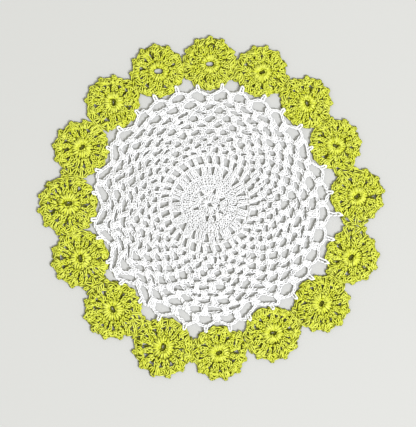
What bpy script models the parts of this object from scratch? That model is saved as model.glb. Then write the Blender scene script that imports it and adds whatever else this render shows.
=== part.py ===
"""A round lace doily in crocheted cotton, 25 cm across, lying flat.

A white centre is worked outwards from a dense eye through fans and a net of chains, and ends in
picots. Sixteen lime flowers stand round it, joined to it and to each other at their picots. The
doily rests at z = 0, and the origin is the middle of its underside.
"""

import math
from collections import namedtuple

import bmesh
import bpy
import numpy as np
from mathutils import Vector
from mathutils.geometry import delaunay_2d_cdt

# Sizes are in millimetres. Turns are in degrees, anticlockwise from +X as seen from above.
MM = 0.001
PIECE_GAP = 0.3
RIM_HEIGHT = 1.2  # of the cloth round a gap and along an outline
CHAIN_HEIGHT = 1.5
KNOT_HEIGHT = 2.3
COTTON_ROUGHNESS = 0.9
WHITE = (0.86, 0.87, 0.87)
LIME = (0.58, 0.68, 0.04)

# Each flower: where its eye lies, how far its free picots reach, how far it is turned from pointing
# a picot straight outwards, how far its outline lies anticlockwise of its eye, and how far round it
# the two white picots have slid.
Flower = namedtuple("Flower", "turn distance reach spin lean slide")
FLOWERS = [
    Flower(turn=90.5, distance=103.6, reach=20.4, spin=-1, lean=0.2, slide=0),
    Flower(turn=69.3, distance=104.2, reach=19.5, spin=8, lean=1.2, slide=0),
    Flower(turn=47.4, distance=102.1, reach=19.4, spin=11, lean=1.1, slide=0),
    Flower(turn=26.5, distance=100.0, reach=19.7, spin=10, lean=1.4, slide=12),
    Flower(turn=4.5, distance=105.2, reach=20.4, spin=4, lean=0.9, slide=18),
    Flower(turn=-19.5, distance=106.8, reach=20.4, spin=-7, lean=0.9, slide=6),
    Flower(turn=-40.8, distance=105.0, reach=21.4, spin=-6, lean=0.0, slide=0),
    Flower(turn=-63.5, distance=100.3, reach=21.1, spin=4, lean=-1.4, slide=0),
    Flower(turn=-87.0, distance=104.3, reach=20.7, spin=12, lean=0.3, slide=0),
    Flower(turn=-109.0, distance=105.8, reach=22.9, spin=-1, lean=0.0, slide=0),
    Flower(turn=-134.2, distance=101.6, reach=22.2, spin=-2, lean=0.7, slide=0),
    Flower(turn=-158.9, distance=100.9, reach=22.0, spin=-10, lean=0.3, slide=0),
    Flower(turn=178.1, distance=102.8, reach=22.8, spin=12, lean=1.8, slide=0),
    Flower(turn=154.7, distance=102.6, reach=21.2, spin=-12, lean=1.5, slide=0),
    Flower(turn=132.7, distance=103.4, reach=20.5, spin=13, lean=1.0, slide=0),
    Flower(turn=111.0, distance=105.4, reach=20.2, spin=15, lean=1.0, slide=0),
]
USUAL_REACH = 20.4
PICOTS_EACH = 12
PICOT_SHAPE = (1.0, 0.62, 0.0, 0.62)  # tip, shoulder, valley and shoulder, above the valley
VALLEY = 0.87  # between picots, as a share of the reach
FACES_NEIGHBOUR = 26  # a picot within this turn of a neighbour reaches as far as the neighbour
NEIGHBOUR_SIDE = 60  # the outline within this turn of a neighbour stays clear of it
EYE_RADIUS = 2.5
EYE_POINTS = 8

# Rings of points on an upper face, whose heights take turns. Posts stand high, and the small gaps
# between them are low. A flower's radii are those of a flower of the usual reach.
Ring = namedtuple("Ring", "radius points first second")
FLOWER_RINGS = [
    Ring(radius=5.4, points=12, first=2.5, second=2.5),
    Ring(radius=8.7, points=12, first=1.7, second=1.7),
    Ring(radius=12.6, points=24, first=2.4, second=0.8),
    Ring(radius=15.7, points=24, first=2.1, second=2.5),
]
CENTRE_RINGS = [
    Ring(radius=4.0, points=8, first=2.4, second=2.4),
    Ring(radius=9.4, points=16, first=0.8, second=2.3),
    Ring(radius=14.0, points=16, first=2.4, second=1.9),
    Ring(radius=18.5, points=32, first=2.4, second=1.8),
    Ring(radius=28.6, points=32, first=2.4, second=2.0),
    Ring(radius=35.8, points=32, first=2.3, second=1.9),
    Ring(radius=39.4, points=64, first=0.9, second=2.3),
    Ring(radius=44.0, points=64, first=2.3, second=0.9),
]

# The white centre has 32 columns, one under each picot.
COLUMNS = 32
FIRST_COLUMN = 5.5  # the turn of column 0
CENTRE_EYE = (-1.3, 2.4)
EYE_HEIGHT = 1.0
EDGE_DRIFT = (0.6, -2.2)  # how far the net is stretched to one side at its edge
NET_START = 36.0
EDGE_PEAK = 85.2
EDGE_VALLEY = 82.2
EDGE_KNOT_RADIUS = 80.0
VALLEY_HALF_WIDTH = 0.25  # in columns
PICOT_HALF_WIDTH = 1.2
PICOT_END_HALF_TURN = 4  # round the flower that it meets
PICOT_JOIN = 150  # from outwards on a flower, where a white picot meets it
JOIN_SHARE = 0.83  # of the flower's reach
JOIN_HALF_TURN = 13
LEAST_PICOT = 2.2  # how far a white picot stands out of its scallop at least

# The corners of a gap, anticlockwise, as a radius and a share of a column.
FAN_GAP = [(20.9, 0.0), (27.3, -0.45), (27.0, 0.45)]
POST_GAP = [(30.3, -0.22), (34.2, -0.16), (34.4, 0.32), (30.5, 0.24)]
EDGE_GAP = [(77.2, -0.14), (79.4, -0.27), (82.3, -0.05), (82.3, 0.05), (79.4, 0.27), (77.2, 0.14)]
# The corners of a gap in the net, as shares of its half width and of its height.
NET_GAP = [(-1, 0), (-0.5, 0.5), (0.5, 0.5), (1, 0), (0.5, -0.5), (-0.5, -0.5)]

# Rounds of the net whose gaps are cut through. The two rounds inside them have gaps under 4 mm.
NetRound = namedtuple("NetRound", "radius gap_width gap_height offset")
NET_ROUNDS = [
    NetRound(radius=48.9, gap_width=4.7, gap_height=3.1, offset=0.0),
    NetRound(radius=53.9, gap_width=5.2, gap_height=3.2, offset=0.5),
    NetRound(radius=58.9, gap_width=5.8, gap_height=3.2, offset=0.0),
    NetRound(radius=63.9, gap_width=6.4, gap_height=3.3, offset=0.5),
    NetRound(radius=68.9, gap_width=7.0, gap_height=3.4, offset=0.0),
    NetRound(radius=73.9, gap_width=7.6, gap_height=3.6, offset=0.5),
]


def direction(turn):
    return np.array([math.cos(math.radians(turn)), math.sin(math.radians(turn))])


def turn_of(arrow):
    return math.degrees(math.atan2(arrow[1], arrow[0]))


def turn_between(one, other):
    """The turn from one direction to another, from -180 to 180 degrees."""
    return (other - one + 180) % 360 - 180


def at_height(place, height):
    return (place[0], place[1], height)


# Where flowers and picots lie


def eye_of(flower):
    return flower.distance * direction(flower.turn)


def middle_of(flower):
    return eye_of(flower) + flower.lean * direction(flower.turn + 90)


def edge_centre():
    return np.array(CENTRE_EYE) + np.array(EDGE_DRIFT)


def join_turn(flower, side):
    return flower.turn + flower.slide + side * PICOT_JOIN


def join_reach(flower, side):
    """How far from a flower's middle a white picot meets it, a little outside the scallops."""
    start = middle_of(flower) - edge_centre()
    along = -start @ direction(join_turn(flower, side))
    inside = along**2 - start @ start + (EDGE_PEAK + LEAST_PICOT) ** 2
    return min(JOIN_SHARE * flower.reach, along - math.sqrt(inside) - PIECE_GAP)


def picot_ends():
    """The two corners where each white picot meets its flower, in order of the columns."""
    picots = []
    for flower in FLOWERS:
        for side in (-1, 1):
            reach = join_reach(flower, side) + PIECE_GAP
            way = join_turn(flower, side)
            corners = [
                middle_of(flower) + reach * direction(way + half_turn)
                for half_turn in (PICOT_END_HALF_TURN, -PICOT_END_HALF_TURN)
            ]
            picots.append(corners)
    half_column = 180 / COLUMNS
    picots.sort(key=lambda ends: (picot_turn(ends) - FIRST_COLUMN + half_column) % 360)
    return picots


def picot_turn(ends):
    return turn_of(sum(ends) / 2 - edge_centre())


PICOT_ENDS = picot_ends()


# The white centre


def net_point(radius, column):
    """A place on the white centre, whose net is drawn towards the picots that hold its edge."""
    pull = min(max((radius - NET_START) / (EDGE_PEAK - NET_START), 0), 1)
    below = math.floor(column)
    slides = []
    for number in (below, below + 1):
        even_turn = FIRST_COLUMN + number * 360 / COLUMNS
        slides.append(turn_between(even_turn, picot_turn(PICOT_ENDS[number % COLUMNS])))
    slide = slides[0] + (slides[1] - slides[0]) * (column - below)
    turn = FIRST_COLUMN + column * 360 / COLUMNS + pull * slide
    return np.array(CENTRE_EYE) + pull * np.array(EDGE_DRIFT) + radius * direction(turn)


def centre_outline():
    """The scalloped edge of the white centre, with a picot on each scallop."""
    half_picot = math.degrees(PICOT_HALF_WIDTH / EDGE_PEAK) * COLUMNS / 360
    half_scallop = 0.5 - VALLEY_HALF_WIDTH
    points = []
    for column, ends in enumerate(PICOT_ENDS):
        points.append(at_height(net_point(EDGE_VALLEY, column - half_scallop), RIM_HEIGHT))
        points.append(at_height(net_point(EDGE_PEAK, column - half_picot), CHAIN_HEIGHT))
        points.append(at_height(ends[0], RIM_HEIGHT))
        points.append(at_height(ends[1], RIM_HEIGHT))
        points.append(at_height(net_point(EDGE_PEAK, column + half_picot), CHAIN_HEIGHT))
        points.append(at_height(net_point(EDGE_VALLEY, column + half_scallop), RIM_HEIGHT))
    return points


def gap_at(corners, column):
    return [at_height(net_point(radius, column + aside), RIM_HEIGHT) for radius, aside in corners]


def net_gap_at(net_round, column):
    """A six-sided gap, with the chains above and below it standing a little higher."""
    half_width = net_round.gap_width / 2 * COLUMNS / (2 * math.pi * net_round.radius)
    points = []
    for aside, out in NET_GAP:
        place = net_point(net_round.radius + out * net_round.gap_height, column + aside * half_width)
        points.append(at_height(place, CHAIN_HEIGHT if out else RIM_HEIGHT))
    return points


def centre_gaps():
    """The gaps that go right through the white centre."""
    gaps = [gap_at(FAN_GAP, column) for column in range(1, COLUMNS, 2)]
    gaps += [gap_at(POST_GAP, column + 0.5) for column in range(COLUMNS)]
    gaps += [gap_at(EDGE_GAP, column) for column in range(COLUMNS)]
    for net_round in NET_ROUNDS:
        gaps += [net_gap_at(net_round, column + net_round.offset) for column in range(COLUMNS)]
    return gaps


def centre_relief():
    """Points of the white centre's upper face: rings of posts, then the knots of the net."""
    points = [at_height(CENTRE_EYE, EYE_HEIGHT)]
    for ring in CENTRE_RINGS:
        for step in range(ring.points):
            height = ring.second if step % 2 else ring.first
            points.append(at_height(net_point(ring.radius, step * COLUMNS / ring.points), height))
    knots = [(net_round.radius, net_round.offset + 0.5) for net_round in NET_ROUNDS]
    for radius, offset in knots + [(EDGE_KNOT_RADIUS, 0.5)]:
        for column in range(COLUMNS):
            points.append(at_height(net_point(radius, column + offset), KNOT_HEIGHT))
    return points


# The flowers


def reach_to_centre(flower, turn, white_rim):
    """How far a flower may reach in a direction before it comes to the white edge."""
    start = middle_of(flower)
    arrow = direction(turn)
    across = direction(turn + 90)
    nearest = math.inf
    for one, other in zip(white_rim - start, np.roll(white_rim, -1, axis=0) - start):
        left, right = one @ across, other @ across
        if left * right < 0:
            hit = (one + (other - one) * left / (left - right)) @ arrow
            if hit > 0:
                nearest = min(nearest, hit)
    return nearest - 2 * PIECE_GAP


def neighbours_of(number):
    """The direction of each neighbour's middle, and how far this flower may reach towards it."""
    middle = middle_of(FLOWERS[number])
    neighbours = []
    for other in (number - 1, (number + 1) % len(FLOWERS)):
        way = middle_of(FLOWERS[other]) - middle
        neighbours.append((turn_of(way), np.linalg.norm(way) / 2 - PIECE_GAP / 2))
    return neighbours


def flower_outline(number, white_rim):
    """Corners round a flower: free picots, and those cut off where a neighbour or a join lies."""
    flower = FLOWERS[number]
    neighbours = neighbours_of(number)
    valley = VALLEY * flower.reach
    corners = []
    for picot in range(PICOTS_EACH):
        middle_turn = flower.turn + flower.spin + picot * 360 / PICOTS_EACH
        tip = flower.reach
        for way, reach in neighbours:
            off = turn_between(way, middle_turn)
            if abs(off) < FACES_NEIGHBOUR:
                tip = reach / math.cos(math.radians(off))
        for step, rise in enumerate(PICOT_SHAPE):
            turn = middle_turn + step * 360 / PICOTS_EACH / len(PICOT_SHAPE)
            radius = min(valley + (tip - valley) * rise, reach_to_centre(flower, turn, white_rim))
            for way, reach in neighbours:
                off = turn_between(way, turn)
                if abs(off) < NEIGHBOUR_SIDE:
                    radius = min(radius, reach / math.cos(math.radians(off)))
            for side in (-1, 1):
                if abs(turn_between(join_turn(flower, side), turn)) < JOIN_HALF_TURN:
                    radius = min(radius, join_reach(flower, side))
            corners.append(at_height(middle_of(flower) + radius * direction(turn), RIM_HEIGHT))
    return corners


def flower_eye(flower):
    radius = EYE_RADIUS * flower.reach / USUAL_REACH
    turns = [flower.turn + step * 360 / EYE_POINTS for step in range(EYE_POINTS)]
    return [at_height(eye_of(flower) + radius * direction(turn), RIM_HEIGHT) for turn in turns]


def flower_relief(flower):
    """Points of a flower's upper face, in rings that drift from its eye towards its middle."""
    points = []
    for ring in FLOWER_RINGS:
        share = ring.radius / USUAL_REACH
        centre = eye_of(flower) * (1 - share) + middle_of(flower) * share
        for step in range(ring.points):
            height = ring.second if step % 2 else ring.first
            turn = flower.turn + flower.spin + step * 360 / ring.points
            points.append(at_height(centre + share * flower.reach * direction(turn), height))
    return points


# Solids


def fill(loops, inner_points):
    """Triangles between an outline and its gaps, through any points that lie between them."""
    places = [Vector(point[:2]) for loop in loops for point in loop]
    places += [Vector(point[:2]) for point in inner_points]
    edges = []
    gap_faces = []
    start = 0
    for number, loop in enumerate(loops):
        corners = list(range(start, start + len(loop)))
        edges += zip(corners, corners[1:] + corners[:1])
        if number > 0:
            gap_faces.append(corners)
        start += len(loop)
    _, _, faces, old_points, _, old_faces = delaunay_2d_cdt(places, edges, gap_faces, 1, 1e-5)
    kept = [face for face, gaps in zip(faces, old_faces) if not gaps]
    return [[old_points[corner][0] for corner in face] for face in kept], edges


def cloth_solid(name, outline, gaps, relief, material):
    """A flat-bottomed sheet of cloth with gaps cut through it and its upper face in relief."""
    loops = [outline] + gaps
    rim = [point for loop in loops for point in loop]
    upper, edges = fill(loops, relief)
    lower, _ = fill(loops, [])
    rise = len(rim)
    points = [at_height(point, 0) for point in rim] + rim + relief
    faces = [[corner + rise for corner in face] for face in upper]
    faces += [face[::-1] for face in lower]
    faces += [(one, other, other + rise, one + rise) for one, other in edges]
    mesh = bpy.data.meshes.new(name)
    mesh.from_pydata([Vector(point) * MM for point in points], [], faces)
    shape = bmesh.new()
    shape.from_mesh(mesh)
    bmesh.ops.recalc_face_normals(shape, faces=shape.faces)
    bmesh.ops.triangulate(shape, faces=shape.faces)
    shape.to_mesh(mesh)
    shape.free()
    mesh.materials.append(material)
    return bpy.data.objects.new(name, mesh)


def cotton(name, colour):
    material = bpy.data.materials.new(name)
    material.use_nodes = True
    shader = material.node_tree.nodes["Principled BSDF"]
    shader.inputs["Base Color"].default_value = (*colour, 1)
    shader.inputs["Roughness"].default_value = COTTON_ROUGHNESS
    shader.inputs["Metallic"].default_value = 0
    material.diffuse_color = (*colour, 1)
    return material


def main():
    for old in list(bpy.data.objects):
        bpy.data.objects.remove(old)
    doily = bpy.data.collections.new("lace_doily")
    bpy.context.scene.collection.children.link(doily)
    white = cotton("white_cotton", WHITE)
    lime = cotton("lime_cotton", LIME)

    edge = centre_outline()
    pieces = [cloth_solid("lace_centre", edge, centre_gaps(), centre_relief(), white)]
    white_rim = np.array(edge)[:, :2]
    outlines = [flower_outline(number, white_rim) for number in range(len(FLOWERS))]
    for number, flower in enumerate(FLOWERS):
        name = f"flower_{number + 1:02d}"
        eye = flower_eye(flower)
        pieces.append(cloth_solid(name, outlines[number], [eye], flower_relief(flower), lime))

    corners = np.concatenate(outlines)
    middle = (corners.min(axis=0) + corners.max(axis=0)) / 2 * MM
    for piece in pieces:
        piece.location = (-middle[0], -middle[1], 0)
        doily.objects.link(piece)


main()
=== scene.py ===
import math
import random
from collections import namedtuple

import bpy
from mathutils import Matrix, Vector


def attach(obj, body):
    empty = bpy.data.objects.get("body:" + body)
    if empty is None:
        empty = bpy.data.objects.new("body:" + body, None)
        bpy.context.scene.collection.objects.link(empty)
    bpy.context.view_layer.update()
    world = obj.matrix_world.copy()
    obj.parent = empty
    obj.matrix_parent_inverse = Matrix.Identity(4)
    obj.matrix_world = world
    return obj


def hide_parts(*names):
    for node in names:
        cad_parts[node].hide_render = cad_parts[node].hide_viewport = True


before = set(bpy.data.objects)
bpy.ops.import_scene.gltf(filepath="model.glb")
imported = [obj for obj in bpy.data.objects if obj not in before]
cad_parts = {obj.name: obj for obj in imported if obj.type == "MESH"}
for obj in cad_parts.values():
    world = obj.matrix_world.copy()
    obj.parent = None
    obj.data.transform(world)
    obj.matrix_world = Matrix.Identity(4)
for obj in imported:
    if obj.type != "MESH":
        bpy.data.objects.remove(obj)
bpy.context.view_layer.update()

# The heart of the white centre: crochet cotton worked in rounds from a small ring, first in close
# posts, then in sixteen fans and a round of tall posts. Each stitch is a loop of yarn drawn through
# the one before it, so every row is laid as overlapping loops.
MM = 0.001  # sizes are in millimetres, and turns in degrees anticlockwise from +X, seen from above
DOILY_MIDDLE = Vector((-0.134, -0.071))  # from the middle of the ring of flowers, where places start
STRAND = 0.92  # thickness of the white yarn
LOW = 1.3  # height of a row's middle where it lies on the surface
HIGH = 2.0  # where it lies on the row before
BACK = 0.5  # height of the plain strand at the back of the stitches
POST_MIDDLE = 0.4  # how far up a post its middle point is
RING_STEPS = 64  # points in a closed row
USUAL_SLANT = 0.3
COLUMNS = 32
FIRST_COLUMN = 5.5  # the turn of column 0
HEART_EYE = Vector((-1.3, 2.4))
Post = namedtuple("Post", "loops wide foot_height head_height", defaults=(HIGH, LOW))
ToAndFro = namedtuple("ToAndFro", "inner outer turns height")  # a strand between two radii


def direction(turn):
    return Vector((math.cos(math.radians(turn)), math.sin(math.radians(turn))))


def heart_place(radius, column):
    return HEART_EYE + radius * direction(FIRST_COLUMN + column * 360 / COLUMNS)


class Rows:
    """Paths that yarn follows. Each has a number of loops, and a width at each of its points."""

    def __init__(self, seed, sway, slant=USUAL_SLANT, back=BACK):
        self.luck = random.Random(seed)
        self.sway = sway  # how far a stitch stands off its even place
        self.slant = slant  # how far a loop may be turned from its row, in radians
        self.back = back  # height of the strand behind the loops
        self.points = []
        self.edges = []
        self.loops = []
        self.widths = []
        self.slants = []

    def near(self, place):
        off = (self.luck.uniform(-1, 1), self.luck.uniform(-1, 1))
        return Vector(place) + Vector(off) * self.sway

    def add(self, path, loops, wide):
        start = len(self.points)
        for place, height in path:
            self.points.append((Vector(place) - DOILY_MIDDLE).to_3d() * MM + Vector((0, 0, height * MM)))
        self.edges += [(start + step, start + step + 1) for step in range(len(path) - 1)]
        self.loops += [loops] * len(path)
        self.widths += wide if isinstance(wide, tuple) else [wide] * len(path)
        self.slants += [self.slant] * len(path)

    def ring(self, place_at, loops, wide, height=LOW, steps=RING_STEPS):
        """A closed row. place_at gives its place at each share of the way round."""
        shares = [step / steps * (1 - 1 / loops) for step in range(steps + 1)]
        self.add([(place_at(share), height) for share in shares], loops, wide)
        self.strand([(place_at(step / steps), self.back) for step in range(steps + 1)])

    def strand(self, path):
        """A plain strand, such as the yarn at the back of a row of stitches."""
        self.add(path, 0, 0)

    def zigzag(self, place_at, way):
        """A plain strand to and fro. place_at gives a place by its radius and its share of a round."""
        radii = (way.inner, way.outer)
        steps = range(way.turns * 2 + 1)
        self.strand([(place_at(radii[step % 2], step / way.turns / 2), way.height) for step in steps])

    def post(self, foot, head, post):
        """A stitch that stands on the row before it, over whose edge its foot is hooked."""
        foot = self.near(foot)
        head = self.near(head)
        middle = foot.lerp(head, POST_MIDDLE)
        middle_height = (post.foot_height + post.head_height) / 2
        path = [(foot, post.foot_height), (middle, middle_height), (head, post.head_height)]
        self.add(path, post.loops, post.wide)
        self.strand([(foot, self.back), (head, self.back)])


class Wire:
    """An output of a node. Sums that are written with it add Math nodes to its tree."""

    def __init__(self, tree, socket):
        self.tree = tree
        self.socket = socket

    def maths(self, operation, one, other):
        return self.tree.node("ShaderNodeMath", {"operation": operation}, {0: one, 1: other})

    def __add__(self, other):
        return self.maths("ADD", self, other)

    def __sub__(self, other):
        return self.maths("SUBTRACT", self, other)

    def __rsub__(self, other):
        return self.maths("SUBTRACT", other, self)

    def __mul__(self, other):
        return self.maths("MULTIPLY", self, other)

    def __truediv__(self, other):
        return self.maths("DIVIDE", self, other)

    def __rtruediv__(self, other):
        return self.maths("DIVIDE", other, self)

    __radd__ = __add__
    __rmul__ = __mul__


class Tree:
    """Adds nodes to a node tree, each by its type, its settings and its sockets' values or links."""

    def __init__(self, tree):
        self.tree = tree

    def node(self, kind, settings=None, sockets=None, output=None):
        node = self.tree.nodes.new(kind)
        for name, value in (settings or {}).items():
            setattr(node, name, value)
        for name, value in (sockets or {}).items():
            if isinstance(name, int):
                socket = node.inputs[name]
            else:
                socket = next(each for each in node.inputs if each.name == name and each.enabled)
            if isinstance(value, Wire):
                self.tree.links.new(value.socket, socket)
            else:
                socket.default_value = value
        shown = [each for each in node.outputs if each.enabled and output in (None, each.name)]
        return Wire(self, shown[0]) if shown else node

    def attribute(self, name):
        return self.node("GeometryNodeInputNamedAttribute", {"data_type": "FLOAT"}, {"Name": name})

    def store(self, geometry, name, value, kind="FLOAT", domain="POINT"):
        settings = {"data_type": kind, "domain": domain}
        sockets = {"Geometry": geometry, "Name": name, "Value": value}
        return self.node("GeometryNodeStoreNamedAttribute", settings, sockets)

    def vector(self, x, y, z):
        return self.node("ShaderNodeCombineXYZ", {}, {"X": x, "Y": y, "Z": z})

    def vector_maths(self, operation, one, other):
        return self.node("ShaderNodeVectorMath", {"operation": operation}, {0: one, 1: other})

    def parts(self, vector):
        return [self.node("ShaderNodeSeparateXYZ", {}, {"Vector": vector}, axis) for axis in "XYZ"]

    def wander(self, size, reach, shift):
        """A smooth offset that changes over about the given size, up to the given reach."""
        place = self.node("GeometryNodeInputPosition")
        moved = self.vector_maths("ADD", place, self.vector(shift, shift * 0.7, 0.0))
        noise = self.node(
            "ShaderNodeTexNoise", {}, {"Vector": moved, "Scale": 1 / size, "Detail": 1.0}, "Color"
        )
        centred = self.vector_maths("SUBTRACT", noise, (0.5, 0.5, 0.5))
        return self.vector_maths("MULTIPLY", centred, self.vector(reach * 2, reach * 2, reach))


BROAD_BEND = 22  # over which the rows wander
FINE_BEND = 2.5  # over which the yarn is crooked
STRAND_STEP = 1.6  # between the points of a plain strand
LEAST_HALF = 0.02  # half the width of a loop at least, however narrow its row
LOOP_RISE = (0.4, 0.775, 1.026)  # terms of the cubic that a loop's yarn rises and falls by
HEAD_SPREAD = 0.25  # how much wider a loop is at its head


def loops_tree():
    """Geometry nodes that lay overlapping loops of yarn along rows."""
    group = bpy.data.node_groups.new("yarn_loops", "GeometryNodeTree")
    interface = group.interface
    interface.new_socket("Rows", in_out="INPUT", socket_type="NodeSocketGeometry")
    for name in ("Strand", "Overlap", "Rise", "Roll", "Unevenness", "Crookedness", "Wander"):
        interface.new_socket(name, in_out="INPUT", socket_type="NodeSocketFloat")
    for name in ("Seed", "Sides", "Points"):
        interface.new_socket(name, in_out="INPUT", socket_type="NodeSocketInt")
    interface.new_socket("Cotton", in_out="INPUT", socket_type="NodeSocketMaterial")
    interface.new_socket("Cloth", in_out="OUTPUT", socket_type="NodeSocketGeometry")
    tree = Tree(group)
    given_node = group.nodes.new("NodeGroupInput")
    given = {socket.name: Wire(tree, socket) for socket in given_node.outputs}
    strand = given["Strand"]
    seed = given["Seed"]

    # Each row becomes a smooth path with two points for each loop and one more.
    rows = tree.node("GeometryNodeMeshToCurve", {}, {"Mesh": given["Rows"]})
    broad = tree.wander(BROAD_BEND * MM, given["Wander"], shift=0.31)
    rows = tree.node("GeometryNodeSetPosition", {}, {"Geometry": rows, "Offset": broad})
    rows = tree.node("GeometryNodeCurveSplineType", {"spline_type": "CATMULL_ROM"}, {"Curve": rows})
    loops = tree.attribute("loops")
    looped = tree.node("FunctionNodeCompare", {"operation": "GREATER_THAN"}, {"A": loops, "B": 0.5})
    # No output has an empty name, so the node itself comes back, with both its outputs.
    split = tree.node(
        "GeometryNodeSeparateGeometry", {"domain": "CURVE"}, {"Geometry": rows, "Selection": looped}, ""
    )
    rows, plain = [Wire(tree, socket) for socket in split.outputs]
    plain = tree.node(
        "GeometryNodeResampleCurve", {"mode": "LENGTH"}, {"Curve": plain, "Length": STRAND_STEP * MM}
    )
    rows = tree.node("GeometryNodeResampleCurve", {}, {"Curve": rows, "Count": loops * 2.0 + 1.0})
    row_length = tree.node("GeometryNodeSplineLength", {}, {}, "Length")
    in_row = tree.node("GeometryNodeSplineParameter", {}, {}, "Index")
    middles = tree.node("ShaderNodeMath", {"operation": "MODULO"}, {0: in_row, 1: 2.0})

    # One loop: a ring that is drawn out to half its overlap at each end, with its foot low behind
    # the loop before, its legs high over that loop's head, and its own head low again.
    ring = tree.node(
        "GeometryNodeCurvePrimitiveCircle", {}, {"Resolution": given["Points"], "Radius": 1.0}
    )
    half_step = tree.vector(0.0, 0.0, 180.0 / given["Points"] * (math.pi / 180))
    ring = tree.node("GeometryNodeTransform", {}, {"Geometry": ring, "Rotation": half_step})
    place = tree.node("GeometryNodeInputPosition")
    back, side, _ = tree.parts(place)
    ahead = back * -1.0
    level, square, cube = LOOP_RISE
    rise = level - ahead - ahead * ahead * square + ahead * ahead * ahead * cube
    shape = tree.vector(ahead, side * (1.0 + ahead * HEAD_SPREAD), rise)
    ring = tree.node("GeometryNodeSetPosition", {}, {"Geometry": ring, "Position": shape})

    tangent = tree.node("GeometryNodeInputTangent")
    along = tree.node("FunctionNodeAlignRotationToVector", {"axis": "X"}, {"Vector": tangent})
    upright = tree.node(
        "FunctionNodeAlignRotationToVector",
        {"axis": "Z", "pivot_axis": "X"},
        {"Rotation": along, "Vector": (0.0, 0.0, 1.0)},
    )

    def chance(low, high, shift):
        sockets = {"Min": low, "Max": high, "Seed": seed + shift}
        return tree.node("FunctionNodeRandomValue", {"data_type": "FLOAT"}, sockets)

    uneven = given["Unevenness"]
    lean = tree.vector(
        chance(-1.0, 1.0, 1.0) * given["Roll"],
        chance(-0.5, 0.5, 2.0) * uneven,
        chance(-1.0, 1.0, 3.0) * tree.attribute("slant"),
    )
    lean = tree.node("FunctionNodeEulerToRotation", {}, {"Euler": lean})
    turned = tree.node(
        "FunctionNodeRotateRotation",
        {"rotation_space": "LOCAL"},
        {"Rotation": upright, "Rotate By": lean},
    )
    half_long = row_length / loops * given["Overlap"] * 0.5
    half_wide = (tree.attribute("wide") - strand) * 0.5
    half_wide = tree.node("ShaderNodeMath", {"operation": "MAXIMUM"}, {0: half_wide, 1: LEAST_HALF * MM})
    size = tree.vector(
        half_long * (1.0 + chance(-0.5, 0.5, 4.0) * uneven),
        half_wide * (1.0 + chance(-1.0, 1.0, 5.0) * uneven),
        strand * given["Rise"] * (1.0 + chance(-1.0, 1.0, 6.0) * uneven),
    )
    cloth = tree.node(
        "GeometryNodeInstanceOnPoints",
        {},
        {"Points": rows, "Selection": middles, "Instance": ring, "Rotation": turned, "Scale": size},
    )
    cloth = tree.store(cloth, "tone", chance(0.0, 1.0, 7.0), domain="INSTANCE")
    cloth = tree.node("GeometryNodeRealizeInstances", {}, {"Geometry": cloth})
    both = group.nodes.new("GeometryNodeJoinGeometry")
    group.links.new(plain.socket, both.inputs[0])
    group.links.new(cloth.socket, both.inputs[0])
    cloth = Wire(tree, both.outputs[0])

    # The yarn is a little crooked, and rests on the surface where it would sink below it.
    crooked = tree.wander(FINE_BEND * MM, given["Crookedness"], shift=0.17)
    cloth = tree.node("GeometryNodeSetPosition", {}, {"Geometry": cloth, "Offset": crooked})
    x, y, z = tree.parts(tree.node("GeometryNodeInputPosition"))
    height = tree.node("ShaderNodeMath", {"operation": "MAXIMUM"}, {0: z, 1: strand * 0.5})
    cloth = tree.node(
        "GeometryNodeSetPosition", {}, {"Geometry": cloth, "Position": tree.vector(x, y, height)}
    )
    yarn_length = tree.node("GeometryNodeSplineParameter", {}, {}, "Length")
    cloth = tree.store(cloth, "along", yarn_length)
    section = tree.node(
        "GeometryNodeCurvePrimitiveCircle", {}, {"Resolution": given["Sides"], "Radius": strand * 0.5}
    )
    outward = tree.node("ShaderNodeVectorMath", {"operation": "NORMALIZE"}, {0: place})
    section = tree.store(section, "side", outward, kind="FLOAT_VECTOR")
    cloth = tree.node("GeometryNodeCurveToMesh", {}, {"Curve": cloth, "Profile Curve": section})
    cloth = tree.node("GeometryNodeSetShadeSmooth", {}, {"Geometry": cloth})
    # The way each face looks up, by which the material paints light and shade on the yarn.
    _, _, facing = tree.parts(tree.node("GeometryNodeInputNormal"))
    cloth = tree.store(cloth, "facing", facing)
    cloth = tree.node("GeometryNodeRealizeInstances", {}, {"Geometry": cloth})
    cloth = tree.node("GeometryNodeSetMaterial", {}, {"Geometry": cloth, "Material": given["Cotton"]})
    tree.node("NodeGroupOutput", {}, {"Cloth": cloth})
    return group


yarn_loops = loops_tree()
OVERLAP = 1.45  # a loop's length, in loops of its row
RISE = 1.0  # in strands
CROOKED = 0.32  # how far the yarn strays from a smooth loop
YARN_SIDES = 5
LOOP_POINTS = 8


def crochet(name, rows, cotton, seed, strand=STRAND, wander=0.6, roll=0.3, unevenness=0.3):
    """A piece of cloth: loops of yarn along rows, as a plain mesh."""
    mesh = bpy.data.meshes.new(name + "_rows")
    mesh.from_pydata(rows.points, rows.edges, [])
    values_of = (("loops", rows.loops, 1), ("wide", rows.widths, MM), ("slant", rows.slants, 1))
    for label, values, unit in values_of:
        layer = mesh.attributes.new(label, "FLOAT", "POINT")
        layer.data.foreach_set("value", [value * unit for value in values])
    piece = bpy.data.objects.new(name, mesh)
    bpy.context.scene.collection.objects.link(piece)
    modifier = piece.modifiers.new("loops", "NODES")
    modifier.node_group = yarn_loops
    sizes = {
        "Strand": strand * MM,
        "Overlap": OVERLAP,
        "Rise": RISE,
        "Roll": roll,
        "Unevenness": unevenness,
        "Crookedness": CROOKED * MM,
        "Wander": wander * MM,
        "Seed": seed,
        "Sides": YARN_SIDES,
        "Points": LOOP_POINTS,
        "Cotton": cotton,
    }
    for item in yarn_loops.interface.items_tree:
        if item.name in sizes:
            modifier[item.identifier] = sizes[item.name]
    ready = piece.evaluated_get(bpy.context.evaluated_depsgraph_get())
    piece.data = bpy.data.meshes.new_from_object(ready)
    piece.modifiers.clear()
    return piece


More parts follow.
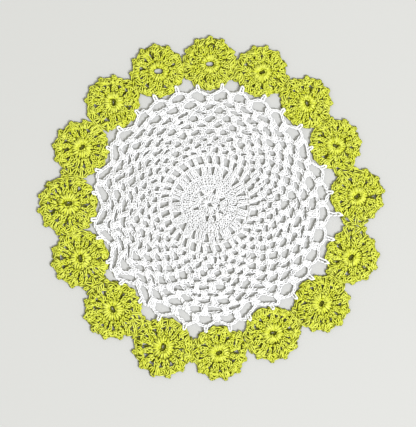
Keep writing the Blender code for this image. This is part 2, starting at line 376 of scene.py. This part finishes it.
TWIST_LENGTH = 3.4
PLIES = 3
FIBRE = 0.4  # size of the fibres' small light and dark places
RELIEF = 0.2  # depth of the grooves between the plies
RELIEF_STRENGTH = 0.6
PLY_RELIEF = 0.7
FIBRE_RELIEF = 0.3
ROUGHNESS_SPREAD = 0.2
# Painted light: how far facing up and the tops of the plies, with the loops' random tone and the fibres,
# lift the yarn from its shade colour to its full colour.
FACING_LIGHT = 1.1
PLY_LIGHT = 0.3
TONE_LIGHT = 0.3
FIBRE_LIGHT = 0.2
LEAST_LIGHT = 0.8  # the sum of these four from which the shade begins to lift
UNDERSIDE = 1.5  # how soon the yarn's underside comes out of the shade as it faces down


def cotton(name, colour, shade, painted_deep_shade, heights, sides_open, roughness, sheen, specular):
    """Plied cotton, whose colour holds painted light and shade: its tops and the grooves between its
    plies are painted in two tones, and it is painted darker low in the cloth.

    Between the two heights the yarn comes out of the painted shade between the stitches, and its sides
    are painted less open to the light than its top. Its underside is painted as open as its top, on the
    back of the cloth.
    """
    material = bpy.data.materials.new(name)
    material.use_nodes = True
    tree = Tree(material.node_tree)
    shader = material.node_tree.nodes["Principled BSDF"]
    side = tree.node("ShaderNodeAttribute", {"attribute_name": "side"}, {}, "Vector")
    along = tree.node("ShaderNodeAttribute", {"attribute_name": "along"}, {}, "Fac")
    tone = tree.node("ShaderNodeAttribute", {"attribute_name": "tone"}, {}, "Fac")
    across, up, _ = tree.parts(side)
    turn = tree.node("ShaderNodeMath", {"operation": "ARCTAN2"}, {0: up, 1: across})
    turn = turn + along * (2 * math.pi / (TWIST_LENGTH * MM))
    groove = tree.node("ShaderNodeMath", {"operation": "SINE"}, {0: turn * (PLIES / 2)})
    ply = tree.node("ShaderNodeMath", {"operation": "ABSOLUTE"}, {0: groove})
    place = tree.node("ShaderNodeTexCoord", {}, {}, "Object")
    fibres = tree.node(
        "ShaderNodeTexNoise", {}, {"Vector": place, "Scale": 1 / (FIBRE * MM), "Detail": 2.0}, "Fac"
    )
    _, _, height = tree.parts(place)
    # Painted shade: the yarn is painted darker low in the cloth and on its sides, by its height and the
    # way it faces.
    painted_openness = tree.node(
        "ShaderNodeMapRange",
        {"interpolation_type": "SMOOTHSTEP"},
        {"Value": height, "From Min": heights[0] * MM, "From Max": heights[1] * MM},
    )
    facing = tree.node("ShaderNodeAttribute", {"attribute_name": "facing"}, {}, "Fac")
    below = tree.node("ShaderNodeMath", {"operation": "MAXIMUM"}, {0: facing * -UNDERSIDE, 1: 0.0})
    facing = tree.node("ShaderNodeMath", {"operation": "MAXIMUM"}, {0: facing, 1: 0.0})
    painted_openness = painted_openness * (sides_open + facing * (1 - sides_open)) + below

    def mixed(factor, one, other):
        settings = {"data_type": "RGBA", "clamp_factor": True}
        return tree.node("ShaderNodeMix", settings, {"Factor": factor, "A": one, "B": other})

    # Painted light and shade: the yarn that faces up takes the full colour most, then the tops of its
    # plies and the paler loops of random tone; its sides and the grooves between its plies take the
    # shade colour.
    light = facing * FACING_LIGHT + ply * PLY_LIGHT + tone * TONE_LIGHT + fibres * FIBRE_LIGHT
    yarn = mixed(light - LEAST_LIGHT, (*shade, 1), (*colour, 1))
    paint = mixed(painted_openness, (*painted_deep_shade, 1), yarn)
    relief = ply * PLY_RELIEF + fibres * FIBRE_RELIEF
    bump = tree.node(
        "ShaderNodeBump",
        {},
        {"Height": relief, "Strength": RELIEF_STRENGTH, "Distance": RELIEF * MM},
    )
    rough = roughness + (fibres - 0.5) * ROUGHNESS_SPREAD
    material.node_tree.links.new(paint.socket, shader.inputs["Base Color"])
    material.node_tree.links.new(rough.socket, shader.inputs["Roughness"])
    material.node_tree.links.new(bump.socket, shader.inputs["Normal"])
    shader.inputs["Sheen Weight"].default_value = sheen
    shader.inputs["Specular IOR Level"].default_value = specular
    return material


# The white is painted a little darker on its tops that face up than on its sides and the grooves between
# its plies, a painted shade that tempers their highlights; low in the cloth it is painted a darker grey
# shade.
white_cotton = cotton(
    "white_cotton",
    colour=(0.635, 0.64, 0.655),
    shade=(0.665, 0.67, 0.685),
    painted_deep_shade=(0.25, 0.25, 0.235),
    heights=(0.6, 1.6),
    sides_open=0.82,
    roughness=0.8,
    sheen=0.1,
    specular=0.08,
)

heart = Rows(seed=1, sway=0.3)


def heart_at(radius, share):
    """A place on the heart, by its share of the way round."""
    return heart_place(radius, share * COLUMNS)


HeartRing = namedtuple("HeartRing", "radius loops wide")


def add_heart_ring(ring):
    heart.ring(lambda share: heart_at(ring.radius, share), ring.loops, ring.wide)


EYE = 1.15  # radius of the strand inside the first ring
EYE_CORNERS = 8
EYE_POSTS = 13
EYE_FOOT = 3.1
EYE_HEAD = 6.4
EYE_POST = Post(loops=1, wide=(1.9, 2.5, 2.7))
add_heart_ring(HeartRing(radius=2.2, loops=8, wide=1.8))
eye_shares = [corner / EYE_CORNERS for corner in range(EYE_CORNERS + 1)]
heart.strand([(heart_at(EYE, share), BACK) for share in eye_shares])
for number in range(EYE_POSTS):
    column = number * COLUMNS / EYE_POSTS
    heart.post(heart_place(EYE_FOOT, column), heart_place(EYE_HEAD, column), EYE_POST)
add_heart_ring(HeartRing(radius=7.3, loops=18, wide=2.3))
heart.zigzag(heart_at, ToAndFro(inner=3.0, outer=6.4, turns=20, height=1.2))

# The next round stands in groups, with a small hole between them in each of these turns.
HOLE_TURNS = (22, 70, 128, 196, 262, 292, 327)
HOLE_FOOT = 17  # half the turn between the feet on both sides of a hole
HOLE_HEAD = 7.5
POST_SPACING = 12
GROUP_FOOT = 8.0
GROUP_HEAD = 12.6
GROUP_POST = Post(loops=3, wide=2.3, foot_height=1.9, head_height=1.5)
for number, turn in enumerate(HOLE_TURNS):
    after = HOLE_TURNS[(number + 1) % len(HOLE_TURNS)]
    half_span = (after - turn) % 360 / 2
    posts = max(round((2 * half_span - 2 * HOLE_HEAD) / POST_SPACING) + 1, 2)
    for post in range(posts):
        share = 2 * post / (posts - 1) - 1
        foot_turn = turn + half_span + share * (half_span - HOLE_FOOT)
        head_turn = turn + half_span + share * (half_span - HOLE_HEAD)
        foot = HEART_EYE + GROUP_FOOT * direction(foot_turn)
        head = HEART_EYE + GROUP_HEAD * direction(head_turn)
        heart.post(foot, head, GROUP_POST)
add_heart_ring(HeartRing(radius=13.2, loops=32, wide=2.3))
# A strand to and fro low behind the holes takes the painted shade, so the holes show dark yarn.
heart.zigzag(heart_at, ToAndFro(inner=8.2, outer=12.4, turns=30, height=BACK))

DENSE_BACK = 0.8  # height of the strand behind these posts
DENSE_POSTS = 44
DENSE_FOOT = 13.9
DENSE_HEAD = 19.5
DENSE_LEAN = 0.1  # how far a head lies on from its foot, in columns
DENSE_POST = Post(loops=3, wide=2.7)
heart.back = DENSE_BACK
for number in range(DENSE_POSTS):
    column = (number + 0.5) * COLUMNS / DENSE_POSTS
    foot = heart_place(DENSE_FOOT, column)
    heart.post(foot, heart_place(DENSE_HEAD, column + DENSE_LEAN), DENSE_POST)
add_heart_ring(HeartRing(radius=20.1, loops=46, wide=2.3))

NET_BACK = 1.1  # in the open rounds, where it lies in the middle of the chain
FAN_FOOT = 20.6
FAN_HEAD = 27.6
FAN_SLIDE = 0.22  # how far a fan's head lies off its even place, in columns
FOOT_SPREAD = 0.62  # between the posts of a fan
HEAD_SPREADS = (0.36, 0.46)
FAN_POST = Post(loops=4, wide=2.4)
heart.back = NET_BACK
for fan in range(0, COLUMNS, 2):
    slide = heart.luck.uniform(-FAN_SLIDE, FAN_SLIDE)
    spread = heart.luck.uniform(*HEAD_SPREADS)
    for aside in (-1, 0, 1):
        foot = heart_place(FAN_FOOT, fan + aside * FOOT_SPREAD)
        head = heart_place(FAN_HEAD, fan + slide + aside * spread)
        heart.post(foot, head, FAN_POST)
add_heart_ring(HeartRing(radius=28.4, loops=64, wide=2.9))

TALL_FOOT = 28.8
TALL_HEAD = 35.6
TALL_SLIDE = 0.24
HEAD_SLIDE = 0.5  # of the foot's
TALL_LEAN = (-0.1, 0.16)  # of the foot and the head, in columns
TALL_PAIR = (-0.09, 0.09)
TALL_POST = Post(loops=3, wide=2.2)
for column in range(COLUMNS):
    slide = heart.luck.uniform(-TALL_SLIDE, TALL_SLIDE)
    for aside in TALL_PAIR:
        foot = heart_place(TALL_FOOT, column + TALL_LEAN[0] + slide + aside)
        head = heart_place(TALL_HEAD, column + TALL_LEAN[1] + slide * HEAD_SLIDE + aside)
        heart.post(foot, head, TALL_POST)
HEART_EDGE = 36.4
add_heart_ring(HeartRing(radius=HEART_EDGE, loops=82, wide=2.9))

lace_heart = crochet("white_heart", heart, white_cotton, seed=3)
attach(lace_heart, "root")

# The white chains: rounds of cotton chain in arches, from the heart to the edge. Each arch is drawn out
# over its gap and in where the next round's stitches hang on it, which makes the gaps six-sided. The
# net is stretched towards the picots that hold its edge, so the flowers' places are needed here.
Flower = namedtuple("Flower", "turn distance reach spin lean slide")
# Each flower's eye, how far its free picots reach, how far it is turned from pointing a picot
# outwards, how far its outline lies anticlockwise of its eye, and how far round it the two white
# picots have slid.
FLOWERS = [
    Flower(turn=90.5, distance=103.6, reach=20.4, spin=-1, lean=0.2, slide=0),
    Flower(turn=69.3, distance=104.2, reach=19.5, spin=8, lean=1.2, slide=0),
    Flower(turn=47.4, distance=102.1, reach=19.4, spin=11, lean=1.1, slide=0),
    Flower(turn=26.5, distance=100.0, reach=19.7, spin=10, lean=1.4, slide=12),
    Flower(turn=4.5, distance=105.2, reach=20.4, spin=4, lean=0.9, slide=18),
    Flower(turn=-19.5, distance=106.8, reach=20.4, spin=-7, lean=0.9, slide=6),
    Flower(turn=-40.8, distance=105.0, reach=21.4, spin=-6, lean=0.0, slide=0),
    Flower(turn=-63.5, distance=100.3, reach=21.1, spin=4, lean=-1.4, slide=0),
    Flower(turn=-87.0, distance=104.3, reach=20.7, spin=12, lean=0.3, slide=0),
    Flower(turn=-109.0, distance=105.8, reach=22.9, spin=-1, lean=0.0, slide=0),
    Flower(turn=-134.2, distance=101.6, reach=22.2, spin=-2, lean=0.7, slide=0),
    Flower(turn=-158.9, distance=100.9, reach=22.0, spin=-10, lean=0.3, slide=0),
    Flower(turn=178.1, distance=102.8, reach=22.8, spin=12, lean=1.8, slide=0),
    Flower(turn=154.7, distance=102.6, reach=21.2, spin=-12, lean=1.5, slide=0),
    Flower(turn=132.7, distance=103.4, reach=20.5, spin=13, lean=1.0, slide=0),
    Flower(turn=111.0, distance=105.4, reach=20.2, spin=15, lean=1.0, slide=0),
]
PICOT_JOIN = 150  # from outwards on a flower, where a white picot meets it
JOIN_SHARE = 0.86  # of the flower's reach
EDGE_MIDDLE = HEART_EYE + Vector((0.6, -2.2))
SCALLOP_PEAK = 85.2
FLOWER_CLEAR = 0.95  # of a flower's reach, which the white edge stays clear of
HALF_EDGE = 1.3  # half the width of the white edge's chain


def eye_of(flower):
    return flower.distance * direction(flower.turn)


def middle_of(flower):
    return eye_of(flower) + flower.lean * direction(flower.turn + 90)


def turn_of(way):
    return math.degrees(math.atan2(way.y, way.x))


def turn_between(one, other):
    return (other - one + 180) % 360 - 180


def white_picot_tips():
    """Where the white picots meet the flowers, in order of the columns."""
    tips = []
    for flower in FLOWERS:
        for side in (-1, 1):
            turn = flower.turn + flower.slide + side * PICOT_JOIN
            tips.append(middle_of(flower) + JOIN_SHARE * flower.reach * direction(turn))
    first = FIRST_COLUMN - 180 / COLUMNS
    return sorted(tips, key=lambda tip: (turn_of(tip - EDGE_MIDDLE) - first) % 360)


PICOT_TIPS = white_picot_tips()


def room_within_flowers(turn):
    """How far the white edge may lie from its middle in a direction, beside the flowers."""
    room = SCALLOP_PEAK
    for flower in FLOWERS:
        start = middle_of(flower) - EDGE_MIDDLE
        along = start.dot(direction(turn))
        inside = along**2 - start.length_squared + (FLOWER_CLEAR * flower.reach + HALF_EDGE) ** 2
        if along > 0 and inside > 0:
            room = min(room, along - math.sqrt(inside))
    return room


def net_place(radius, column):
    """A place on the net, which is drawn towards its picots and held in by the flowers."""
    pull = min(max((radius - HEART_EDGE) / (SCALLOP_PEAK - HEART_EDGE), 0), 1)
    below = math.floor(column)
    slides = []
    for number in (below, below + 1):
        even_turn = FIRST_COLUMN + number * 360 / COLUMNS
        slides.append(turn_between(even_turn, turn_of(PICOT_TIPS[number % COLUMNS] - EDGE_MIDDLE)))
    slide = slides[0] + (slides[1] - slides[0]) * (column - below)
    turn = FIRST_COLUMN + column * 360 / COLUMNS + pull * slide
    held_in = radius * (1 - pull * (1 - room_within_flowers(turn) / SCALLOP_PEAK))
    return HEART_EYE.lerp(EDGE_MIDDLE, pull) + held_in * direction(turn)


CHAIN_PITCH = 2.8  # from one loop of the chain to the next
CHAIN_WIDE = 3.2
STEPS_A_COLUMN = 8
CELL_DRAW = 0.75  # how far a chain is drawn in and out by the stitches that hang on it
GAP_RADII = (39.4, 44.0, 48.9, 53.9, 58.9, 63.9, 68.9, 73.9, 80.0)
WAVES = ((3, 0.4), (7, 0.4), (13, 0.4), (23, 0.45), (37, 0.45))  # cycles round the net, and height


def chain_round(number):
    """The radius, at each column, of the round of chain outside a round of gaps."""
    phase = number % 2 / 2
    radius = (GAP_RADII[number] + GAP_RADII[number + 1]) / 2
    luck = random.Random(number)
    waves = [(cycles, height, luck.uniform(0, 360)) for cycles, height in WAVES]

    def radius_at(column):
        out = CELL_DRAW * math.cos(2 * math.pi * (column - phase))
        for cycles, height, start in waves:
            out += height * math.sin(math.radians(start + cycles * column * 360 / COLUMNS))
        return radius + out

    return radius_at


CHAIN_ROUNDS = [chain_round(number) for number in range(len(GAP_RADII) - 1)]
chains = Rows(seed=2, sway=0.0, back=NET_BACK)


def chain_path(radius_at):
    return lambda share: net_place(radius_at(share * COLUMNS), share * COLUMNS)


for radius_at in CHAIN_ROUNDS:
    links = round(2 * math.pi * radius_at(0) / CHAIN_PITCH)
    chains.ring(chain_path(radius_at), links, CHAIN_WIDE, steps=COLUMNS * STEPS_A_COLUMN)

white_chains = crochet("white_chains", chains, white_cotton, seed=5)
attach(white_chains, "root")
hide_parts("lace_centre")

# The white stitches: short cotton posts that hold the arches together, each hooked over the chain
# below it. Two stand in each wall between two gaps of the inner rounds, three further out, and four
# in the outermost rounds and at the edge.
WallPost = namedtuple("WallPost", "foot head")  # how far aside of the wall's middle they stand
NARROW_WALL = (WallPost(-0.9, -1.2), WallPost(0.9, 1.2))
WIDE_WALL = (WallPost(-0.9, -1.4), WallPost(0.1, 0.0), WallPost(0.9, 1.4))
BROAD_WALL = (WallPost(-1.0, -1.6), WallPost(-0.3, -0.5), WallPost(0.3, 0.5), WallPost(1.0, 1.6))
FIRST_WIDE = 3
FIRST_BROAD = 6
WALL_LEAN = 0.3  # how far a wall's heads lie on from its feet
FOOT_IN = 0.3  # how far a post's foot reaches over the middle of the chain below
HEAD_OUT = 0.2
WALL_STITCH = Post(loops=2, wide=2.3)
stitches = Rows(seed=4, sway=0.75, back=NET_BACK)


def wall(rows, inner, outer, column, wall_posts):
    for post in wall_posts:
        foot = net_place(inner, column + (post.foot - WALL_LEAN) * COLUMNS / (2 * math.pi * inner))
        head = net_place(outer, column + (post.head + WALL_LEAN) * COLUMNS / (2 * math.pi * outer))
        rows.post(foot, head, WALL_STITCH)


for number, outer_at in enumerate(CHAIN_ROUNDS):
    for gap in range(COLUMNS):
        column = gap + number % 2 / 2 + 0.5
        inner = CHAIN_ROUNDS[number - 1](column) if number else HEART_EDGE
        posts = WIDE_WALL if number >= FIRST_WIDE else NARROW_WALL
        posts = BROAD_WALL if number >= FIRST_BROAD else posts
        wall(stitches, inner - FOOT_IN, outer_at(column) + HEAD_OUT, column, posts)

white_stitches = crochet("white_stitches", stitches, white_cotton, seed=6)
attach(white_stitches, "root")

# The white edge: a last round of cotton chain in 32 scallops, held by posts in its valleys, with a
# small pointed loop at each peak, the picot, by which it hangs on a flower.
SCALLOP_VALLEY = 82.4
SCALLOP_LOOPS = 7
SCALLOP_WIDE = 2.4
LEAST_PICOT = 4.0
WHITE_PICOT_LOOPS = 6
WHITE_PICOT_WIDE = 1.35
PicotPoint = namedtuple("PicotPoint", "out aside height")  # out is a share of the picot's length
PICOT_SIDE = (PicotPoint(0.0, 1.15, 1.3), PicotPoint(0.5, 0.9, 1.9), PicotPoint(0.93, 0.55, 2.3))
EDGE_WALL = (WallPost(-1.3, -2.0), WallPost(-0.5, -0.7), WallPost(0.5, 0.7), WallPost(1.3, 2.0))
edge = Rows(seed=7, sway=0.3, back=NET_BACK)


def scallop_place(share):
    column = share * COLUMNS
    out = abs(math.cos(math.pi * column))
    return net_place(SCALLOP_VALLEY + (SCALLOP_PEAK - SCALLOP_VALLEY) * out, column)


edge.ring(scallop_place, COLUMNS * SCALLOP_LOOPS, SCALLOP_WIDE, steps=COLUMNS * STEPS_A_COLUMN)
for gap in range(COLUMNS):
    column = gap + 0.5
    wall(edge, CHAIN_ROUNDS[-1](column) - FOOT_IN, SCALLOP_VALLEY, column, EDGE_WALL)

for column, tip in enumerate(PICOT_TIPS):
    foot = net_place(SCALLOP_PEAK, column)
    way = tip - foot
    way = way.normalized() * max(way.length, LEAST_PICOT)
    across = Vector((-way.y, way.x)).normalized()
    up = [(foot + way * point.out - across * point.aside, point.height) for point in PICOT_SIDE]
    down = [(foot + way * point.out + across * point.aside, point.height) for point in PICOT_SIDE]
    edge.add(up + down[::-1], WHITE_PICOT_LOOPS, WHITE_PICOT_WIDE)

white_edge = crochet("white_edge", edge, white_cotton, seed=8)
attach(white_edge, "root")

# The rounds of the flowers: lime cotton worked in the round, in a ring of chain round the disc, the
# wavy rim, and twelve picots, small closed loops that touch the neighbours' picots.
USUAL_REACH = 20.4  # of the flower that the radii below are for
PETALS = 12
FACES_NEIGHBOUR = 26  # a flower's side within this turn of the way to its neighbour is joined to it
FACES_CENTRE = 58  # a picot within this turn of the way to the centre is shorter
RIM_STEPS = PETALS * 8
FlowerRing = namedtuple("FlowerRing", "radius wave drawn loops wide height steps", defaults=(RIM_STEPS,))
DISC_RING = FlowerRing(radius=7.4, wave=0.0, drawn=0.0, loops=16, wide=1.7, height=0.9, steps=RING_STEPS)
RIM_RING = FlowerRing(radius=17.6, wave=0.3, drawn=1.0, loops=28, wide=2.6, height=1.0)
HALF_RIM = 1.1
PICOT_LOOPS = 5
PICOT_WIDE = 1.6
PICOT_HEIGHT = 0.9
PICOT_RADIUS = 1.2
PICOT_IN = 0.6  # the yarn's own half width, by which the picot's path stays inside its reach
PICOT_TURNS = range(-150, 151, 50)
PICOT_SLIDE = 1.5
# The lime is painted paler and bluer on its tops that face up, a painted highlight, darker olive on its
# sides and in the grooves between its plies, a painted shade, and near black low in the cloth, a painted
# shade.
lime_cotton = cotton(
    "lime_cotton",
    colour=(0.655, 0.695, 0.155),
    shade=(0.43, 0.47, 0.002),
    painted_deep_shade=(0.042, 0.042, 0.001),
    heights=(0.6, 2.1),
    sides_open=0.46,
    roughness=0.8,
    sheen=0.0,
    specular=0.02,
)
LIME_STRAND = 1.1
LIME_WANDER = 0.3
LIME_ROLL = 0.5


def flower_place(flower, radius, turn):
    """A place on a flower, by its radius on a flower of the usual reach."""
    share = radius / USUAL_REACH
    centre = eye_of(flower).lerp(middle_of(flower), min(share, 1))
    return centre + share * flower.reach * direction(flower.turn + flower.spin + turn)


def reach_towards(number, turn):
    """How far a flower may reach in a direction, and how fully it is joined to a neighbour there."""
    flower = FLOWERS[number]
    own_turn = flower.turn + flower.spin + turn
    for other in (number - 1, (number + 1) % len(FLOWERS)):
        way = middle_of(FLOWERS[other]) - middle_of(flower)
        off = turn_between(own_turn, turn_of(way))
        if abs(off) < FACES_NEIGHBOUR:
            reach = way.length / 2 * USUAL_REACH / flower.reach / math.cos(math.radians(off))
            return reach, 1 - (off / FACES_NEIGHBOUR) ** 4
    if abs(turn_between(own_turn, flower.turn + 180)) < FACES_CENTRE:
        return FLOWER_CLEAR * USUAL_REACH, 0
    return USUAL_REACH, 0


def drawn_out(number, turn):
    """How far the rim is drawn out towards a neighbour, to which it is joined along its side."""
    reach, share = reach_towards(number, turn)
    return max(reach - RIM_RING.radius - HALF_RIM, 0) * share


def add_flower_ring(rows, number, ring):
    """A closed row of chain on a flower, drawn out where its rim is."""

    def place_at(share):
        turn = share * 360
        out = ring.wave * math.cos(share * PETALS * 2 * math.pi) + ring.drawn * drawn_out(number, turn)
        return flower_place(FLOWERS[number], ring.radius + out, turn)

    rows.ring(place_at, ring.loops, ring.wide, ring.height, ring.steps)


def flower_rounds(number):
    flower = FLOWERS[number]
    rows = Rows(seed=100 + number, sway=0.2, slant=0.5)
    add_flower_ring(rows, number, DISC_RING)
    add_flower_ring(rows, number, RIM_RING)
    for petal in range(PETALS):
        middle = petal * 360 / PETALS + rows.luck.uniform(-PICOT_SLIDE, PICOT_SLIDE)
        tip = reach_towards(number, middle)[0] - PICOT_RADIUS - PICOT_IN
        path = []
        for step in PICOT_TURNS:
            turn = math.radians(step)
            out = tip + math.cos(turn) * PICOT_RADIUS
            aside = math.degrees(math.sin(turn) * PICOT_RADIUS / tip)
            path.append((flower_place(flower, out, middle + aside), PICOT_HEIGHT))
        rows.add(path, PICOT_LOOPS, PICOT_WIDE)
    return rows


lime_rounds = []
for number in range(len(FLOWERS)):
    label = f"flower_{number + 1:02d}"
    piece = crochet(
        f"lime_rounds_{number + 1:02d}",
        flower_rounds(number),
        lime_cotton,
        seed=20 + number,
        strand=LIME_STRAND,
        wander=LIME_WANDER,
        roll=LIME_ROLL,
    )
    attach(piece, "root")
    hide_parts(label)
    lime_rounds.append(piece)

# The stitches of the flowers: lime cotton in a small ring with 21 close posts, twelve pairs of posts
# that lean together at their heads, which leaves twelve gaps, a round of chain on them, and twelve
# little shells of four short posts, or of two where a shell is joined to the next flower.
EYES = (2.2, 2.6)  # least and greatest radius of a flower's eye
WIDE_EYES = {0: 2.9, 15: 3.2}  # the two flowers whose eyes are drawn open
EYE_OVAL = 0.22
EYE_LOOPS = 10
EYE_LOOP_WIDE = 1.6
EYE_HEIGHT = 1.4
EYE_OUT = 0.3  # from the edge of the eye to the middle of its ring
EYE_INS = (0.4, 1.2)  # from that edge to the strands inside it
EYE_STEP = 30
DISC_POSTS = 21
DISC_FOOT = 1.0  # from the edge of the eye
DISC_HEAD = 6.7
DISC_POST = Post(loops=1, wide=(1.2, 1.7, 2.4), foot_height=1.9, head_height=1.8)
OUTER_SWAY = 0.6
OUTER_SLANT = 0.9
PAIR_FOOT = 8.2
PAIR_FEET_ASIDE = 8
PAIR_HEAD = 13.6
PAIR_HEADS_ASIDE = (2, 7)
PAIR_SLIDE = 3
PAIR_POST = Post(loops=3, wide=(2.3, 2.6, 2.3), foot_height=2.1, head_height=1.7)
MIDDLE_RING = FlowerRing(radius=14.3, wave=0.4, drawn=0.5, loops=24, wide=2.3, height=1.2)
SHELL_ASIDES = (-11, -4, 4, 11)
JOINED = 0.6  # a shell that is drawn out further than this has only its two outer posts
SHELL_FOOT = 14.4
SHELL_HEAD = 18.1
SHELL_ROUND = 0.06  # how much lower its outer posts are, for each degree aside
SHELL_GATHER = 0.4  # how far its feet are drawn together
SHELL_SLIDE = 4
SHELL_POST = Post(loops=1, wide=2.9, foot_height=2.2, head_height=1.3)
# Strands behind the rounds close the small gaps that real yarn closes by its fluff; lying low, they take
# the painted shade, a dark stand-in for the shade in those gaps.
BACK_ROUNDS = (
    ToAndFro(inner=3.4, outer=6.8, turns=28, height=1.2),
    ToAndFro(inner=7.0, outer=9.6, turns=36, height=0.7),
    ToAndFro(inner=9.0, outer=12.8, turns=32, height=BACK),
    ToAndFro(inner=13.6, outer=15.8, turns=44, height=BACK),
    ToAndFro(inner=15.4, outer=17.6, turns=50, height=BACK),
)


def flower_stitches(number):
    flower = FLOWERS[number]
    rows = Rows(seed=200 + number, sway=0.2, slant=0.15)
    luck = rows.luck

    def at(radius, turn):
        return flower_place(flower, radius, turn)

    eye = WIDE_EYES.get(number, luck.uniform(*EYES))
    eye_turn = -flower.turn - flower.spin if number in WIDE_EYES else luck.uniform(0, 360)

    def eye_edge(turn):
        return eye * (1 + EYE_OVAL * math.cos(2 * math.radians(turn - eye_turn)))

    def eye_ring_at(share):
        return at(eye_edge(share * 360) + EYE_OUT, share * 360)

    rows.ring(eye_ring_at, EYE_LOOPS, EYE_LOOP_WIDE, EYE_HEIGHT)
    # Strands low inside the eye take the painted shade and show as its dark rim.
    for inwards in EYE_INS[:1] if number in WIDE_EYES else EYE_INS:
        eye_rim = [at(eye_edge(turn) - inwards, turn) for turn in range(0, 361, EYE_STEP)]
        rows.strand([(place, BACK) for place in eye_rim])
    for post in range(DISC_POSTS):
        turn = (post + 0.5) * 360 / DISC_POSTS
        rows.post(at(eye_edge(turn) + DISC_FOOT, turn), at(DISC_HEAD, turn), DISC_POST)
    rows.sway = OUTER_SWAY
    rows.slant = OUTER_SLANT
    for petal in range(PETALS):
        middle = petal * 360 / PETALS + luck.uniform(-PAIR_SLIDE, PAIR_SLIDE)
        spread = luck.uniform(*PAIR_HEADS_ASIDE)
        for side in (-1, 1):
            foot = at(PAIR_FOOT, middle + side * PAIR_FEET_ASIDE)
            head = at(PAIR_HEAD + drawn_out(number, middle) / 2, middle + side * spread)
            rows.post(foot, head, PAIR_POST)
    add_flower_ring(rows, number, MIDDLE_RING)
    for petal in range(PETALS):
        joined = drawn_out(number, petal * 360 / PETALS) > JOINED
        for aside in SHELL_ASIDES[::3] if joined else SHELL_ASIDES:
            turn = petal * 360 / PETALS + aside
            drawn = drawn_out(number, turn)
            foot_turn = turn - aside * SHELL_GATHER + luck.uniform(-SHELL_SLIDE, SHELL_SLIDE)
            foot = at(SHELL_FOOT + drawn / 2, foot_turn)
            head = at(SHELL_HEAD - abs(aside) * SHELL_ROUND + drawn, turn)
            rows.post(foot, head, SHELL_POST)
    for back_round in BACK_ROUNDS:
        rows.zigzag(lambda radius, share: at(radius, share * 360), back_round)
    return rows


for number, rounds in enumerate(lime_rounds):
    piece = crochet(
        f"lime_stitches_{number + 1:02d}",
        flower_stitches(number),
        lime_cotton,
        seed=40 + number,
        strand=LIME_STRAND,
        wander=LIME_WANDER,
        roll=LIME_ROLL,
        unevenness=0.4,
    )
    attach(piece, "root")
    across = 2 * FLOWERS[number].reach * MM

# The pale surface that the doily lies on, the soft studio light of a wide lamp and bright walls, and
# the camera straight above. The sizes of the surface and the lamp are in metres.
FLOOR_HALF = 3
FLOOR_COLOUR = (0.373, 0.376, 0.372, 1)
corners = [(-1, -1), (1, -1), (1, 1), (-1, 1)]
floor_mesh = bpy.data.meshes.new("floor")
floor_mesh.from_pydata([(x * FLOOR_HALF, y * FLOOR_HALF, 0) for x, y in corners], [], [(0, 1, 2, 3)])
floor = bpy.data.objects.new("floor", floor_mesh)
bpy.context.scene.collection.objects.link(floor)
floor_paint = bpy.data.materials.new("floor_paint")
floor_paint.use_nodes = True
floor_shader = floor_paint.node_tree.nodes["Principled BSDF"]
floor_shader.inputs["Base Color"].default_value = FLOOR_COLOUR
floor_shader.inputs["Roughness"].default_value = 0.9
floor_mesh.materials.append(floor_paint)

world = bpy.data.worlds.new("studio")
world.use_nodes = True
walls = world.node_tree.nodes["Background"]
walls.inputs["Color"].default_value = (1, 0.985, 0.88, 1)
walls.inputs["Strength"].default_value = 0.95
bpy.context.scene.world = world
bpy.context.scene.view_settings.view_transform = "Standard"

lamp_data = bpy.data.lights.new("soft_light", "AREA")
lamp_data.shape = "SQUARE"
lamp_data.size = 1.65
lamp_data.energy = 322
lamp_data.color = (0.95, 0.955, 1.0)
lamp = bpy.data.objects.new("soft_light", lamp_data)
lamp.location = (2.55, -1.8, 3.3)
lamp.rotation_euler = (-Vector(lamp.location)).to_track_quat("-Z", "Y").to_euler()
bpy.context.scene.collection.objects.link(lamp)

PIXEL = 0.72  # of the picture, in millimetres
PICTURE_LONG = 427  # pixels
PICTURE_MIDDLE = (-2.13, -3.96)
CAMERA_HEIGHT = 1500
camera_data = bpy.data.cameras.new("camera")
camera_data.lens = camera_data.sensor_width * CAMERA_HEIGHT / (PICTURE_LONG * PIXEL)
camera = bpy.data.objects.new("camera", camera_data)
camera.location = (PICTURE_MIDDLE[0] * MM, PICTURE_MIDDLE[1] * MM, CAMERA_HEIGHT * MM)
bpy.context.scene.collection.objects.link(camera)
bpy.context.scene.camera = camera
